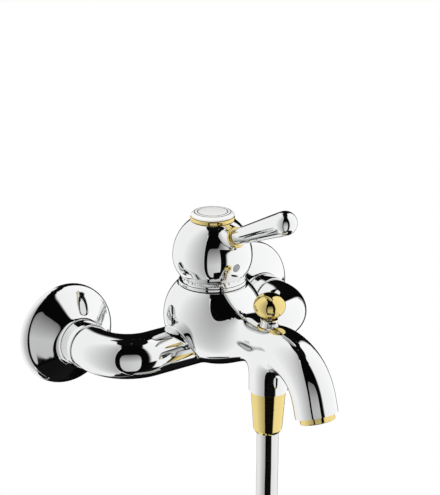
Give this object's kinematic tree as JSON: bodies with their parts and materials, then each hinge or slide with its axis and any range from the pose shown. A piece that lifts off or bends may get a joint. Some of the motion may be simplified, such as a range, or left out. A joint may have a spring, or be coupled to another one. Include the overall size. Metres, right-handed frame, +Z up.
{
  "type": "wall mounted bath faucet",
  "caption": "Exposed wall mounted bath and shower mixer with a round lever handle, pull-up diverter, curved spout and a shower hose, chrome with gold trim",
  "frame": {"origin": "On the wall plane, midway between the two inlets at the height of their axes", "axes": "+X to the right seen from the front, +Y into the wall, +Z up; the spout points along -Y"},
  "size_m": [0.2186, 0.2021, 0.4368],
  "materials": {
    "chrome": "polished chrome plate on brass",
    "gold": "polished gold-coloured plate",
    "raw_brass": "machined, unplated",
    "steel": "plain stainless steel",
    "rubber": "matt black",
    "white_plastic": "moulded, matt",
    "grey_plastic": "moulded, satin",
    "disc_ceramic": "ground and lapped",
    "porcelain": "glazed white with two thin grey rings",
    "hose": "rubber core under a smooth polished metal cover"
  },
  "bodies": {
    "root": {"left_eccentric_union": "chrome", "left_rosette": "chrome", "left_filter_washer": "rubber", "left_union_nut": "chrome", "left_check_valve": "white_plastic", "right_eccentric_union": "chrome", "right_rosette": "chrome", "right_filter_washer": "rubber", "right_union_nut": "chrome", "right_check_valve": "white_plastic", "body_casting": "chrome", "cartridge_base_seal": "rubber", "cartridge_base": "white_plastic", "ceramic_fixed_disc": "disc_ceramic", "cartridge_shell": "white_plastic", "cartridge_retaining_nut": "raw_brass", "spherical_bonnet": "chrome", "diverter_guide": "chrome", "diverter_collar": "gold", "diverter_seat": "raw_brass", "diverter_spring": "steel", "aerator_housing": "gold", "aerator_insert": "white_plastic", "hose_washer": "rubber", "hose_nut": "gold", "hose_ferrule": "raw_brass", "hose_drop": "hose", "hose_coil": "hose", "hose_tail": "hose", "handset_nut": "gold", "handset_washer": "rubber", "coil_tie": "rubber"},
    "swivel": {"cartridge_rotor": "white_plastic", "stem_pin": "steel"},
    "disc": {"ceramic_moving_disc": "disc_ceramic"},
    "handle": {"handle_dome": "chrome", "disc_ring": "gold", "porcelain_disc": "porcelain", "index_plug": "grey_plastic", "handle_set_screw": "steel", "lever_ring": "gold", "lever": "chrome", "lever_stud": "steel", "cartridge_stem": "raw_brass"},
    "diverter": {"piston_seal": "rubber", "diverter_piston": "raw_brass", "diverter_rod": "steel", "diverter_knob": "gold"}
  },
  "joints": [
    {"name": "temperature_swivel", "type": "hinge", "parent": "root", "child": "swivel", "pos_m": [0, -0.063, 0.034], "axis": [0, 0, 1], "range_deg": [-45, 45]},
    {"name": "flow_tilt", "type": "hinge", "parent": "swivel", "child": "handle", "pos_m": [0, -0.063, 0.034], "axis": [-1, 0, 0], "range_deg": [0, 16]},
    {"name": "disc_slide", "type": "slide", "parent": "swivel", "child": "disc", "axis": [0, -1, 0], "range_m": [0, 0.0027]},
    {"name": "diverter_lift", "type": "slide", "parent": "root", "child": "diverter", "axis": [0, 0, 1], "range_m": [0, 0.008], "stiffness_N_per_m": 120, "springref_m": -0.004, "deforming": ["diverter_spring"]}
  ],
  "couplings": [
    {"joint": "disc_slide", "follows": "flow_tilt", "m_per_rad": 0.0091}
  ]
}
